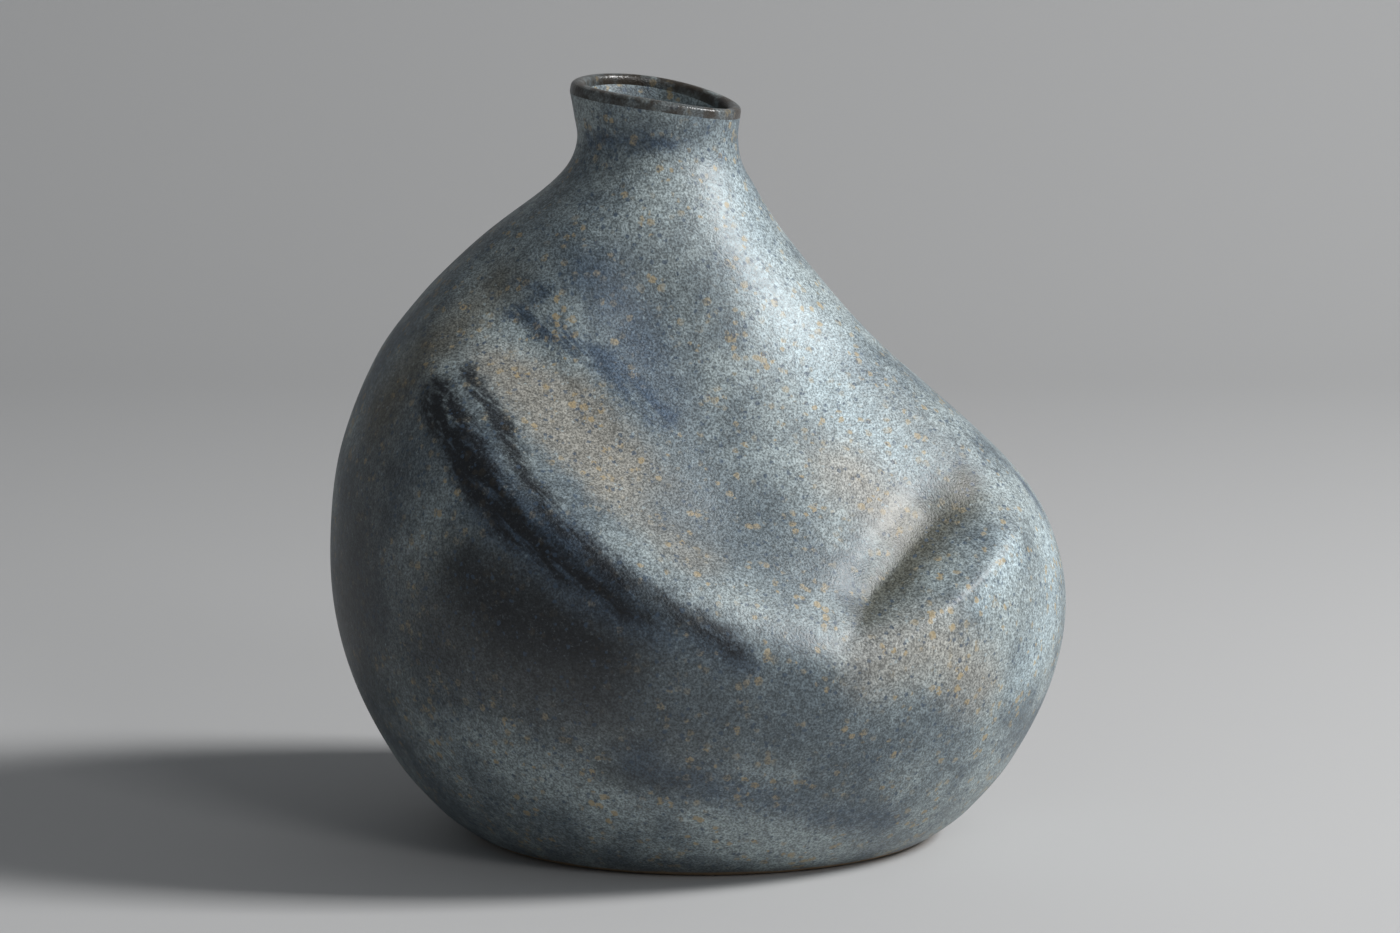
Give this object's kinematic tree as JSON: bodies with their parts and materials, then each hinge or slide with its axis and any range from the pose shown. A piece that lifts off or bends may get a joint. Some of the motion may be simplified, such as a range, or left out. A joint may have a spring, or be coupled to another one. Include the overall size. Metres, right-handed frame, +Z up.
{
  "type": "stoneware bottle vase",
  "caption": "Hand-formed bottle vase with a short leaning neck, a pressed front dish and a bulging lobe; holds stems or stands as decor.",
  "frame": {"origin": "centre of the foot, on the surface the vase stands on", "axes": "+Z up through the neck; +X towards the bulging lobe; -Y is the side with the pressed dish"},
  "size_m": [0.184, 0.1834, 0.1892],
  "materials": {
    "foot_clay": "bare fired stoneware, matte",
    "body_glaze": "speckled blue-grey ash glaze with dark brushed strokes, satin",
    "lip_glaze": "thin glaze breaking dark brown over the rolled lip, glossy"
  },
  "bodies": {
    "root": {"foot_slab": "foot_clay", "lower_bowl": "body_glaze", "pressed_belly": "body_glaze", "shoulder_dome": "body_glaze", "neck_collar": "body_glaze", "lip_roll": "lip_glaze"}
  },
  "joints": []
}
